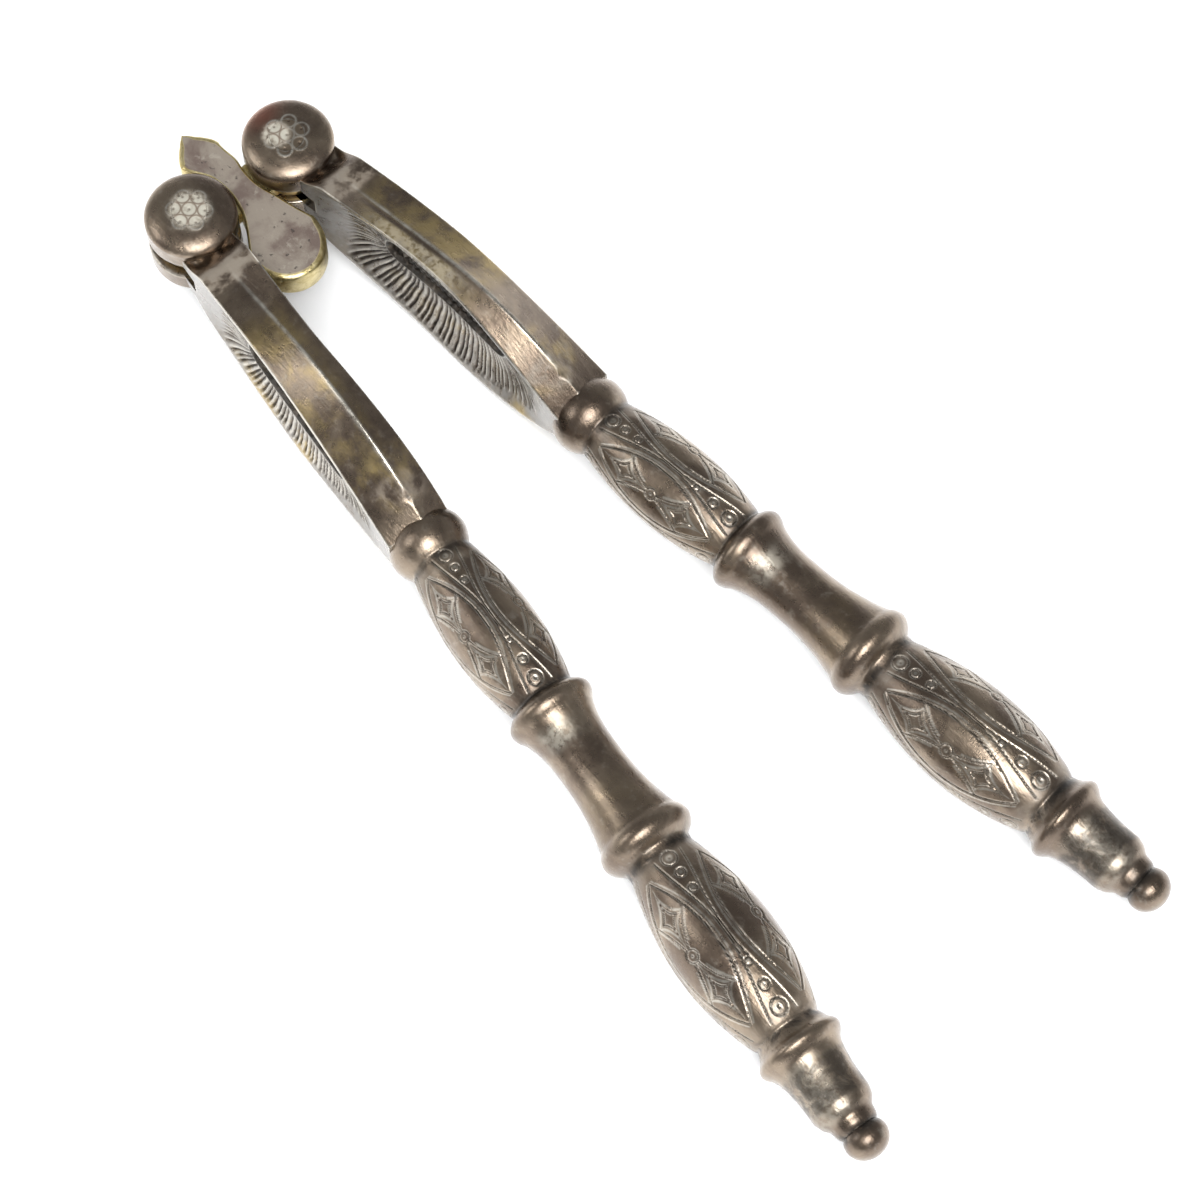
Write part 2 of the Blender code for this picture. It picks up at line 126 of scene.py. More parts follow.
PIT_DEPTH = 1.2
RIM_BORDER = 0.75              # plain border outside the teeth, wider towards the ring
RIM_BORDER_EXTRA = 0.8
TEETH_ROUND = 92               # grooves round a whole face
TEETH_FOCUS = 12.0             # the grooves fan out from between two points this far from the middle
TOOTH_DEPTH = 0.5
TEETH_FROM, TEETH_TO = 11.3, 47.8
TEETH_FADE = 2.5
RIM_LINE = 0.22                # width of the rubbed line along each rim
RIDGE_LINE = 0.06              # and along the roof's ridge, as a share of a facet
CHISEL_MARK = 49.4             # small mark on the ridge by the ring

# Handle, by distance along the lever from the ring's middle
RING_STATION = 53.95
FACET_TRIM = 0.9914            # the solid's handle is a 24-sided turning
RING_RADIUS, RING_HALF_WIDTH = 5.33, 2.7
NECK_RADIUS = 4.25
BULB1_FROM, BULB1_TO, BULB1_RADIUS = 2.7, 25.4, 5.85
RIM1_AT, RIM1_RADIUS, RIM1_HALF_WIDTH = 26.9, 5.95, 1.5
SPOOL_AT, SPOOL_RADIUS = 35.5, 4.2
SPOOL_END1, SPOOL_END2 = 5.3, 5.7      # its radii where it flares into the rims
RIM2_AT, RIM2_RADIUS, RIM2_HALF_WIDTH = 47.4, 6.4, 1.6
BULB2_FROM, BULB2_TO, BULB2_RADIUS = 50.6, 76.6, 6.9
BULB2_NECK = 4.5
LIP_AT, LIP_RADIUS = 79.4, 5.9
CUP_AT, CUP_RADIUS = 86.0, 4.12        # the cup's narrowest place
COLLAR_AT, COLLAR_RADIUS = 90.7, 2.9
GROOVE_AT, GROOVE_RADIUS = 91.4, 2.45
BALL_AT, BALL_RADIUS = 92.6, 2.95
HANDLE_END = 95.1
PROFILE_STEP = 0.05            # the profile is softened in steps this long
PROFILE_SOFTNESS = 0.28

# Engraving, drawn for a bulb of this length
PANEL_LENGTH = 26.0
LINE_WIDTH = 0.15              # on the metal, whatever the bulb's length
OUTER_OVAL_REACH = 12.2
INNER_OVAL_REACH, INNER_OVAL_HALF = 10.6, 3.95
EYELET = 0.85                  # ring in the middle of each oval
DIAMOND_AT = 5.4               # four-point diamonds either side of it
DIAMOND_HALF_LENGTH, DIAMOND_HALF_WIDTH, DIAMOND_POWER = 2.1, 1.35, 0.62
SPOTS = ((-11.6, 1.0, True), (-9.2, 0.62, False), (-6.7, 0.55, False),
         (11.0, 1.05, True), (7.9, 0.68, False), (4.6, 0.45, False))  # station, size, deep dot
LINE_DEPTH, LIP_RISE, SUNK_DEPTH = 0.15, 0.06, 0.11

# Fineness of the meshes
JAW_STATIONS = 310
FACE_COLUMNS = 121
ROOF_COLUMNS = 26
HEAD_COLUMNS = 180
CROWN_ROWS = 45
RIVET_COLUMNS, RIVET_ROWS = 120, 24
EYE_COLUMNS = 72
HANDLE_COLUMNS = 288
SHARP_ANGLE = math.radians(50)

# Camera, in degrees, metres and millimetres of lens, matched to the photograph's angle
VIEW_AZIMUTH, VIEW_ELEVATION = 48.90, 68.93
VIEW_DISTANCE = 0.4761
VIEW_CENTRE = (0.00473, -0.00215, 0.0112)
LENS, SENSOR = 114.18, 36.0

# Floor, in metres
FLOOR_HALF = 6.0
FLOOR_GAP = 0.1 * MM


# ---------------------------------------------------------------- curves

def smooth_step(t):
    t = np.clip(t, 0.0, 1.0)
    return t * t * (3.0 - 2.0 * t)


def blend(a, b, t):
    return a + (b - a) * t


def dent(distance, width):
    """A soft round groove: 1 on its line, falling to 0."""
    return np.exp(-(distance / width) ** 2)


def three_point(x, middle, v_start, v_middle, v_end):
    """A smooth curve along the jaw through three values, level at the middle one."""
    before = blend(v_start, v_middle, smooth_step((x - JAW_START) / (middle - JAW_START)))
    after = blend(v_middle, v_end, smooth_step((x - middle) / (JAW_END - middle)))
    return np.where(x <= middle, before, after)


def arch(x, middle, v_start, v_middle, v_end, powers):
    """An arch along the jaw, falling from v_middle faster towards each end."""
    before = np.clip((middle - x) / (middle - JAW_START), 0.0, 1.0)
    after = np.clip((x - middle) / (JAW_END - middle), 0.0, 1.0)
    return np.where(x <= middle, v_middle - (v_middle - v_start) * before ** powers[0],
                    v_middle - (v_middle - v_end) * after ** powers[1])


def waist(x):
    """Share of its height that the jaw keeps where it leaves the head."""
    return blend(WAIST_SHARE, 1.0, smooth_step((x - WAIST_FROM) / (WAIST_TO - WAIST_FROM)))


def inner_reach(x):
    return three_point(x, INNER_NARROWEST, *INNER_REACHES)


def outer_reach(x):
    return three_point(x, OUTER_LEVEL, *OUTER_REACHES)


def ridge_place(x):
    return three_point(x, RIDGE_CENTRED, *RIDGE_PLACES)


def inner_height(x):
    return waist(x) * arch(x, INNER_FULLEST, *INNER_HALF_HEIGHTS, INNER_FALL)


def outer_height(x):
    return waist(x) * arch(x, OUTER_FULLEST, *OUTER_HALF_HEIGHTS, OUTER_FALL)


def ridge_height(x):
    """A soft rise from the head to the fullest place, then an arch down to the ring."""
    return np.where(x < RIDGE_FULLEST, waist(x) * three_point(x, RIDGE_FULLEST, *RIDGE_HALF_HEIGHTS),
                    arch(x, RIDGE_FULLEST, *RIDGE_HALF_HEIGHTS, (1.0, RIDGE_FALL)))


# ---------------------------------------------------------------- meshes

class Surface:
    """Vertices, faces and painted values, gathered for one mesh."""

    def __init__(self):
        self.points = []
        self.faces = []
        self.values = {}
        self.count = 0

    def add_grid(self, points, wrap_rows=False, wrap_columns=False, caps=(), **values):
        """Add a grid of quads; caps closes its first or last row with one face."""
        rows, columns = points.shape[:2]
        index = self.count + np.arange(rows * columns).reshape(rows, columns)
        down = np.roll(index, -1, axis=0) if wrap_rows else index[1:]
        up = index if wrap_rows else index[:-1]
        if wrap_columns:
            right_up, right_down = np.roll(up, -1, axis=1), np.roll(down, -1, axis=1)
        else:
            right_up, right_down = up[:, 1:], down[:, 1:]
            up, down = up[:, :-1], down[:, :-1]
        quads = np.stack([up, right_up, right_down, down], axis=-1).reshape(-1, 4)
        self.faces += quads.tolist()
        if "first" in caps:
            self.faces.append(index[0][::-1].tolist())
        if "last" in caps:
            self.faces.append(index[-1].tolist())
        self._store(points.reshape(-1, 3), values)

    def add_mesh(self, mesh):
        """Add an existing mesh."""
        points = np.empty(len(mesh.vertices) * 3)
        mesh.vertices.foreach_get("co", points)
        self.faces += [[self.count + v for v in face.vertices] for face in mesh.polygons]
        self._store(points.reshape(-1, 3), {})

    def _store(self, points, values):
        for key in set(values) | set(self.values):
            old = self.values.setdefault(key, [np.zeros(self.count)])
            old.append(np.ravel(values.get(key, np.zeros(len(points)))))
        self.points.append(points)
        self.count += len(points)

    def build(self, name):
        """Make the Blender mesh, faces outward, smooth but for true edges."""
        mesh = bpy.data.meshes.new(name)
        mesh.from_pydata(np.concatenate(self.points).tolist(), [], self.faces)
        mesh.validate()
        mesh.shade_smooth()
        mesh.set_sharp_from_angle(angle=SHARP_ANGLE)
        for key, parts in self.values.items():
            attribute = mesh.attributes.new(key, "FLOAT", "POINT")
            attribute.data.foreach_set("value", np.concatenate(parts).astype(np.float32))
        return mesh


def coordinates(mesh):
    points = np.empty(len(mesh.vertices) * 3)
    mesh.vertices.foreach_get("co", points)
    return points.reshape(-1, 3)


def paint(mesh, name, values):
    """Store one painted value for each vertex."""
    attribute = mesh.attributes.get(name) or mesh.attributes.new(name, "FLOAT", "POINT")
    attribute.data.foreach_set("value", np.clip(values, 0.0, 1.0).astype(np.float32))


def paint_relief(mesh, strength):
    """Paint 'ridge' on convex edges and 'hollow' in concave places."""
    points = coordinates(mesh)
    normals = np.empty(len(points) * 3)
    mesh.vertices.foreach_get("normal", normals)
    edges = np.empty(len(mesh.edges) * 2, dtype=np.int64)
    mesh.edges.foreach_get("vertices", edges)
    a, b = edges.reshape(-1, 2).T
    count = len(points)
    degree = np.maximum(np.bincount(a, minlength=count) + np.bincount(b, minlength=count), 1)

    def neighbour_mean(values):
        return (np.bincount(a, values[b], count) + np.bincount(b, values[a], count)) / degree

    mean = np.stack([neighbour_mean(points[:, k]) for k in range(3)], axis=1)
    length = np.linalg.norm(points[a] - points[b], axis=1)
    mean_length = (np.bincount(a, length, count) + np.bincount(b, length, count)) / degree
    bend = np.sum((points - mean) * normals.reshape(-1, 3), axis=1)
    bend /= np.maximum(mean_length, 1e-4) ** 2
    for _ in range(3):
        bend = 0.5 * bend + 0.5 * neighbour_mean(bend)
    paint(mesh, "ridge", strength * bend)
    paint(mesh, "hollow", -strength * bend)


def place(mesh, name, matrix, material):
    """Show a copy of a mesh made in millimetres at its place in the row frame."""
    mesh = mesh.copy()
    mesh.name = name
    mesh.transform(matrix @ Matrix.Scale(MM, 4))
    mesh.materials.clear()
    mesh.materials.append(material)
    piece = bpy.data.objects.new(name, mesh)
    bpy.context.scene.collection.objects.link(piece)
    return piece


# ---------------------------------------------------------------- jaw

def face_share(x):
    """0 at the plain tips of the faces, 1 along their middle."""
    return smooth_step(np.minimum(x - BOWL_PLAIN, JAW_END - 1.5 - x) / BOWL_FADE)


def face_relief(x, z, height, bowl):
    """Depth of a jaw face below its rim plane, and how deep in a groove each point is, with painted shade in
    the recess and its pit.
    """
    inside = np.clip(1.0 - np.abs(z) / np.maximum(height - BOWL_BORDER, 0.1), 0.0, 1.0)
    depth = bowl * face_share(x) * np.sin(0.5 * math.pi * np.minimum(1.0, 1.6 * inside))

    slope = np.gradient(height[:, 0], x[:, 0])[:, None]
    from_rim = (height - np.abs(z)) / np.sqrt(1.0 + slope ** 2)
    straight = RECESS_HALF_LENGTH - RECESS_HALF_HEIGHT
    beyond = np.maximum(np.abs(x - RECESS_MIDDLE) - straight, 0.0)
    from_recess = np.hypot(beyond, z) - RECESS_HALF_HEIGHT

    # The grooves follow hyperbolas about the two focus points, a little unevenly spaced.
    turn = np.arccosh((x - RECESS_MIDDLE + 1j * (z + 1e-4)) / TEETH_FOCUS)
    phase = np.abs(turn.imag) * TEETH_ROUND / TAU
    phase = phase + 0.16 * np.sin(1.7 * np.floor(phase)) + 0.05 * np.sin(2.3 * z)
    notch = 1.0 - np.abs(2.0 * (phase % 1.0) - 1.0)
    notch = np.clip((notch - 0.3) / 0.6, 0.0, 1.0) ** 0.8
    outward = np.clip(np.abs(z) / height, 0.0, 1.0)
    length = smooth_step((x - TEETH_FROM) / TEETH_FADE) * smooth_step((TEETH_TO - x) / TEETH_FADE)
    border = RIM_BORDER + RIM_BORDER_EXTRA * smooth_step((x - 30.0) / 14.0)
    border = border + 0.15 * np.sin(3.1 * np.floor(phase))
    bite = length * smooth_step((from_rim - border) / 0.5) * smooth_step((from_recess - 0.15) / 0.4)
    depth = depth + TOOTH_DEPTH * blend(0.45, 1.0, outward) * notch * bite

    floor = smooth_step(-from_recess / 0.3)
    pit_middle = RECESS_MIDDLE - RECESS_HALF_LENGTH + PIT_FROM_END
    pit = np.hypot((x - pit_middle) / PIT_HALF_LENGTH, z / PIT_HALF_HEIGHT)
    rough = RECESS_ROUGH * np.sin(5.1 * x + 2.0 * z) * np.sin(4.3 * z - 1.3 * x)
    depth = depth + (RECESS_DEPTH + rough) * floor + PIT_DEPTH * smooth_step((1.0 - pit) / 0.4)
    # Painted shade: the recess and the pit in it are painted dark.
    dark = smooth_step((0.35 - from_recess) / 0.4)
    return depth, np.maximum(notch * bite, dark)


def roof_relief(x, y, across):
    """Dents in the roof: two pockets along the dome's foot and a chisel mark by the ring, and their
    darkness; the pockets' darkness is painted shade.

    across runs from -1 at one face over 0 at the ridge to 1 at the other face.
    """
    foot = np.hypot(x, y) - HEAD_RADIUS
    wave = 0.2 * np.sin(2.6 * y + 0.7)
    pocket = dent(foot - 0.6 - wave, 0.8) * smooth_step(2.6 * np.abs(across - 0.03) - 0.15)
    pocket *= smooth_step((0.97 - np.abs(across)) / 0.3)
    mark = np.clip(1.0 - np.abs(x - CHISEL_MARK) / 1.1 - np.abs(across) / 0.16, 0.0, 1.0)
    # The second value is how dark each is painted: painted shade in the pockets; the chisel mark is darkened
    # too.
    return 0.4 * pocket + 0.3 * mark, np.maximum(0.35 * pocket, 0.8 * mark)


def make_jaw():
    """The jaw bar in the lever frame, closed at both ends."""
    x = np.linspace(JAW_START, JAW_END, JAW_STATIONS)[:, None]
    inner, outer = inner_reach(x) + AXIS_INWARD, outer_reach(x) - AXIS_INWARD
    inner_top, outer_top = inner_height(x), outer_height(x)
    ridge_y, ridge_z = ridge_place(x) - AXIS_INWARD, ridge_height(x)
    face = np.linspace(-1.0, 1.0, FACE_COLUMNS)[None, :]
    roof = np.linspace(0.0, 1.0, ROOF_COLUMNS + 2)[None, :]
    up, down = roof[:, 1:-1], roof[:, :-1]

    y = np.concatenate([-inner + 0.0 * face, blend(-inner, ridge_y, up), blend(ridge_y, outer, down),
                        outer + 0.0 * face, blend(outer, ridge_y, up), blend(ridge_y, -inner, down)], axis=1)
    z = np.concatenate([inner_top * face, blend(inner_top, ridge_z, up), blend(ridge_z, outer_top, down),
                        -outer_top * face, blend(-outer_top, -ridge_z, up),
                        blend(-ridge_z, -inner_top, down)], axis=1)
    # Soften the section's four rims and two ridges.
    for _ in range(2):
        y = 0.5 * y + 0.25 * (np.roll(y, 1, axis=1) + np.roll(y, -1, axis=1))
        z = 0.5 * z + 0.25 * (np.roll(z, 1, axis=1) + np.roll(z, -1, axis=1))

    groove, lip, land = np.zeros_like(y), np.zeros_like(y), np.zeros_like(y)
    width = 2 * ROOF_COLUMNS + 1
    for start, top, bowl, into in ((0, inner_top, INNER_BOWL, 1.0),
                                   (FACE_COLUMNS + width, outer_top, OUTER_BOWL, -1.0)):
        columns = slice(start, start + FACE_COLUMNS)
        from_edge = top * (1.0 - np.abs(face))
        depth, groove[:, columns] = face_relief(x, z[:, columns], top, bowl)
        y[:, columns] += into * depth
        lip[:, columns] = dent(from_edge, RIM_LINE)
        land[:, columns] = smooth_step(from_edge / BOWL_BORDER)

    across = np.concatenate([-1.0 + up, down], axis=1)
    rubbed = smooth_step((x - 9.0) / 10.0) * smooth_step((49.0 - x) / 5.0)
    for side, start in ((1, FACE_COLUMNS), (-1, 2 * FACE_COLUMNS + width)):
        columns = slice(start, start + width)
        depth, groove[:, columns] = roof_relief(x, y[:, columns], side * across)
        z[:, columns] -= side * depth
        lip[:, columns] = dent(across, RIDGE_LINE) * rubbed

    bar = Surface()
    points = np.stack([x + 0.0 * y, y, z], axis=-1)
    bar.add_grid(points[:, ::-1], wrap_columns=True, caps=("first", "last"), groove=groove[:, ::-1],
                 lip=lip[:, ::-1], face=land[:, ::-1])
    return bar


def cut_slot(mesh):
    """Cut the fork slot through the head end of the jaw bar."""
    cutter = Surface()
    angles = np.linspace(0.0, TAU, 97)[:-1]
    wall = [[(SLOT_REACH * math.cos(a), SLOT_REACH * math.sin(a), z) for a in angles]
            for z in (-SLOT_HALF, SLOT_HALF)]
    cutter.add_grid(np.array(wall), wrap_columns=True, caps=("first", "last"))
    tool = bpy.data.objects.new("slot", cutter.build("slot"))
    bar = bpy.data.objects.new("bar", mesh)
    for obj in (tool, bar):
        bpy.context.scene.collection.objects.link(obj)
    cut = bar.modifiers.new("slot", "BOOLEAN")
    cut.operation = "DIFFERENCE"
    cut.solver = "EXACT"
    cut.object = tool
    bpy.context.view_layer.update()
    result = bpy.data.meshes.new_from_object(bar.evaluated_get(bpy.context.evaluated_depsgraph_get()))
    bpy.data.objects.remove(bar)
    bpy.data.objects.remove(tool)
    return result


# ---------------------------------------------------------------- fork head and rivet

def rosette(x, y):
    """The punched flower on each rivet end, as rings and dots: six rings round one."""
    rings, dots = np.zeros_like(x), np.zeros_like(x)
    for k in range(7):
        angle = ROSETTE_TURN + TAU * k / 6
        reach = ROSETTE_REACH if k < 6 else 0.0
        away = np.hypot(x - reach * math.cos(angle), y - reach * math.sin(angle))
        rings = np.maximum(rings, dent(away - ROSETTE_RING, 0.12))
        dots = np.maximum(dots, dent(away, 0.27))
    return rings, dots


def dome_height(x, y):
    share = np.minimum(np.hypot(x, y) / HEAD_RADIUS, 1.0)
    return DOME_BASE + (DOME_TOP - DOME_BASE) * np.sqrt(1.0 - share ** DOME_POWER)


def polar(radii, heights, columns):
    """Grid points of a turning about Z, from matching radii and heights."""
    angle = np.linspace(0.0, TAU, columns + 1)[:-1][None, :]
    radii, heights = np.array(radii)[:, None], np.array(heights)[:, None]
    return np.stack([radii * np.cos(angle), radii * np.sin(angle), heights + 0.0 * angle], axis=-1)


def add_ear(surface, side):
    """One cheek of the fork, above (side 1) or below (side -1) the slot."""
    bore = RIVET_RADIUS + RIVET_SEAM
    slope = np.linspace(0.5 * math.pi, math.asin(bore / HEAD_RADIUS), CROWN_ROWS + 1)
    crown = HEAD_RADIUS * np.sin(slope)[1:]
    wall = np.linspace(SLOT_HALF + 0.3, DOME_BASE, 8)
    radii = np.concatenate([[bore], np.linspace(bore, HEAD_RADIUS - 0.3, 8), [HEAD_RADIUS - HEAD_EDGE],
                            np.full(8, HEAD_RADIUS), crown])
    heights = np.concatenate([[DOME_BASE], np.full(8, SLOT_HALF), [SLOT_HALF + HEAD_EDGE], wall,
                              dome_height(crown, 0.0)])
    points = polar(radii, heights, HEAD_COLUMNS)
    top = points[-CROWN_ROWS:]
    rings, dots = rosette(top[..., 0], top[..., 1])
    groove, lip = np.zeros(points.shape[:2]), np.zeros(points.shape[:2])
    groove[-CROWN_ROWS:], lip[-CROWN_ROWS:] = 0.8 * dots, rings
    top[..., 2] += RING_RISE * rings - DOT_DEPTH * dots
    points[..., 2] *= side
    if side < 0:
        points, groove, lip = points[:, ::-1], groove[:, ::-1], lip[:, ::-1]
    surface.add_grid(points, wrap_rows=True, wrap_columns=True, groove=groove, lip=lip)


def make_rivet():
    """Headless rivet: its ends carry on the dome and the flower."""
    surface = Surface()
    top = polar(np.linspace(0.02, RIVET_RADIUS, RIVET_ROWS), np.zeros(RIVET_ROWS), RIVET_COLUMNS)
    rings, dots = rosette(top[..., 0], top[..., 1])
    top[..., 2] = dome_height(top[..., 0], top[..., 1]) + RIVET_RISE + RING_RISE * rings - DOT_DEPTH * dots
    bottom = top[::-1] * (1.0, 1.0, -1.0)
    points = np.concatenate([top, bottom])
    surface.add_grid(points[:, ::-1], wrap_columns=True, caps=("first", "last"),
                     groove=np.concatenate([dots, dots[::-1]])[:, ::-1],
                     lip=np.concatenate([rings, rings[::-1]])[:, ::-1])
    return surface.build("rivet")


def make_forked_jaw():
    """Jaw bar with its slot, and the two cheeks of the head."""
    bar = cut_slot(make_jaw().build("bar"))
    casting = Surface()
    casting.add_mesh(bar)
    for key in ("groove", "lip", "face"):
        values = np.empty(len(bar.vertices))
        bar.attributes[key].data.foreach_get("value", values)
        casting.values[key] = [values]
    for side in (1, -1):
        add_ear(casting, side)
    return casting.build("forked_jaw")


# ---------------------------------------------------------------- handle

def bead(at, half_width, radius, foot_before, foot_after):
    """A rounded bead, as (station, radius) points from foot to foot."""
    t = np.linspace(-1.0, 1.0, 31)
    foot = np.where(t < 0.0, foot_before, foot_after)
    rise = np.cos(0.5 * math.pi * t) ** 0.8
    return np.stack([at + half_width * t, foot + (radius - foot) * rise], axis=1)


def bulb(start, end, end_radius, radius, lean):
    """A long swelling; lean above 1 moves its fullest place towards the far end."""
    t = np.linspace(0.0, 1.0, 90)[1:-1]
    swell = np.sin(math.pi * t ** lean) ** 0.8
    return np.stack([start + (end - start) * t, end_radius + (radius - end_radius) * swell], axis=1)


def flare(x0, r0, x1, r1, power):
    """A curve from (x0, r0) to (x1, r1), level at x0 and steepest at x1."""
    t = np.linspace(0.0, 1.0, 24)[1:-1]
    return np.stack([blend(x0, x1, t), r0 + (r1 - r0) * t ** power], axis=1)


def ball(at, radius, end):
    """The ball, from its neck to its end near the axis."""
    angle = np.radians(np.linspace(125.0, 2.0, 24))
    return np.stack([at + (end - at) * np.cos(angle), radius * np.sin(angle)], axis=1)


def handle_profile():
    """(station, radius) along the turned handle, evenly spaced and softened."""
    rim1_end, rim2_start = RIM1_AT + RIM1_HALF_WIDTH, RIM2_AT - RIM2_HALF_WIDTH
    stem = [(-4.5, 3.2), (-3.0, 3.6)]
    throat = [(49.6, 4.7), (BULB2_FROM, 4.6)]
    lip = [(BULB2_TO, 4.4), (78.0, 5.0), (78.8, 5.75), (LIP_AT, LIP_RADIUS), (80.1, 5.5), (80.7, 4.95)]
    cup_foot = [(87.6, 4.15), (88.8, 3.75), (89.6, 3.05), (COLLAR_AT, COLLAR_RADIUS),
                (GROOVE_AT, GROOVE_RADIUS)]
    run = [np.array(stem),
           bead(0.0, RING_HALF_WIDTH, RING_RADIUS, 4.3, NECK_RADIUS),
           bulb(BULB1_FROM, BULB1_TO, NECK_RADIUS, BULB1_RADIUS, 1.08),
           bead(RIM1_AT, RIM1_HALF_WIDTH, RIM1_RADIUS, NECK_RADIUS + 0.3, SPOOL_END1),
           flare(SPOOL_AT, SPOOL_RADIUS, rim1_end, SPOOL_END1, 3.0)[::-1],
           flare(SPOOL_AT, SPOOL_RADIUS, rim2_start, SPOOL_END2, 2.2),
           bead(RIM2_AT, RIM2_HALF_WIDTH, RIM2_RADIUS, SPOOL_END2, 5.5),
           np.array(throat),
           bulb(BULB2_FROM, BULB2_TO, BULB2_NECK, BULB2_RADIUS, 1.07),
           np.array(lip),
           flare(CUP_AT, CUP_RADIUS, 81.0, 4.75, 2.2)[::-1],
           np.array(cup_foot),
           ball(BALL_AT, BALL_RADIUS, HANDLE_END)]
    line = np.concatenate(run)
    line[:, 1] *= FACET_TRIM
    gap = np.hypot(*np.diff(line, axis=0).T)
    length = np.concatenate([[0.0], np.cumsum(gap)])
    even = np.arange(0.0, length[-1], PROFILE_STEP)
    curve = np.stack([np.interp(even, length, line[:, k]) for k in range(2)], axis=1)
    wing = 12
    kernel = dent(np.arange(-wing, wing + 1) * PROFILE_STEP, PROFILE_SOFTNESS)
    kernel /= kernel.sum()
    padded = np.pad(curve, ((wing, wing), (0, 0)), mode="edge")
    soft = np.stack([np.convolve(padded[:, k], kernel, "valid") for k in range(2)], axis=1)
    fine = (soft[:, 0] > BULB1_FROM - 1.0) & (soft[:, 0] < BULB1_TO + 1.0)
    fine |= (soft[:, 0] > BULB2_FROM - 1.0) & (soft[:, 0] < BULB2_TO + 1.0)
    step = np.arange(len(soft))
    return soft[(step % 3 == 0) & fine | (step % 5 == 0) & ~fine]


def engraving(x, angle, radius, start, end):
    """The chased pattern of one bulb: groove strength from 0 to 1 and sunk ground.

    It repeats in each quarter of the bulb; u runs along the quarter's middle and v across it.
    """
    scale = (end - start) / PANEL_LENGTH
    u = (x - 0.5 * (start + end)) / scale
    quarter = angle / (0.5 * math.pi)
    v = (quarter - np.floor(quarter) - 0.5) * 0.5 * math.pi * radius / scale
    thin = LINE_WIDTH / scale
    reach = np.abs(u) / OUTER_OVAL_REACH
    half_quarter = 0.25 * math.pi * radius / scale

    outer = half_quarter * (0.48 + 0.5 * np.cos(0.5 * math.pi * np.minimum(reach, 1.0)))
    cut = dent((np.abs(v) - outer) * 0.95, thin) * (reach < 1.0)
    inner = INNER_OVAL_HALF * (1.0 - (u / INNER_OVAL_REACH) ** 2)
    shown = np.abs(u) < INNER_OVAL_REACH + 0.1
    cut = np.maximum(cut, shown * dent(np.abs(v) - inner, thin))
    cut = np.maximum(cut, shown * 0.6 * dent(np.abs(v) - inner - 0.5, 0.8 * thin))

    away = np.hypot(u, v)
    cut = np.maximum(cut, dent(away - EYELET, thin))
    cut = np.maximum(cut, dent(away, 0.22))
    arm = 0.26 * np.abs(u) + 0.0058 * np.abs(u) ** 3
    within = (np.abs(v) < inner) & (away > EYELET + 0.1)
    cut = np.maximum(cut, within * dent(np.abs(v) - arm, thin))
    cut = np.maximum(cut, within * 0.7 * dent(np.abs(v) - arm - 0.42, thin) * (away > 2.0))

    diamond = (np.abs(np.abs(u) - DIAMOND_AT) / DIAMOND_HALF_LENGTH) ** DIAMOND_POWER
    diamond = diamond + (np.abs(v) / DIAMOND_HALF_WIDTH) ** DIAMOND_POWER
    cut = np.maximum(cut, dent((diamond - 1.0) * 1.2, thin))
    petal = smooth_step((arm - np.abs(v)) / 0.35) * smooth_step((np.abs(u) - 1.3) / 0.8)
    sunk = 0.45 * petal * (np.abs(v) < inner) + 0.55 * smooth_step((0.93 - diamond) / 0.1)
    cut = np.maximum(cut, 0.6 * dent((diamond - 1.42) * 1.3, thin) * (np.abs(v) < inner))

    from_seam = half_quarter - np.abs(v)
    for at, size, deep in SPOTS:
        spot = np.hypot(u - at, from_seam)
        cut = np.maximum(cut, dent(spot - size, thin))
        cut = np.maximum(cut, (0.9 if deep else 0.7) * dent(spot, 0.38 * size))
    return cut, sunk


def make_handle():
    """The turned handle in the lever frame, with both bulbs engraved."""
    profile = handle_profile()
    x, radius = profile[:, :1], profile[:, 1:]
    angle = np.linspace(0.0, TAU, HANDLE_COLUMNS + 1)[:-1][None, :]
    groove = np.zeros((len(x), HANDLE_COLUMNS))
    sunk = np.zeros_like(groove)
    for start, end in ((BULB1_FROM, BULB1_TO), (BULB2_FROM, BULB2_TO)):
        inside = (x[:, 0] > start + 0.1) & (x[:, 0] < end - 0.1)
        groove[inside], sunk[inside] = engraving(x[inside], angle, radius[inside], start, end)
    lip = (4.0 * groove * (1.0 - groove)) ** 2
    depth = LINE_DEPTH * groove - LIP_RISE * lip + SUNK_DEPTH * sunk
    slope = np.gradient(radius[:, 0], x[:, 0])[:, None]
    length = np.sqrt(1.0 + slope ** 2)
    ring = radius - depth / length
    points = np.stack([RING_STATION + x + depth * slope / length,
                       ring * np.sin(angle) - AXIS_INWARD, ring * np.cos(angle)], axis=-1)
    turning = Surface()
    turning.add_grid(points, wrap_columns=True, caps=("first", "last"),
                     groove=np.maximum(0.8 * groove ** 3, 0.35 * sunk), lip=0.6 * lip)
    return turning.build("handle")


# ---------------------------------------------------------------- link

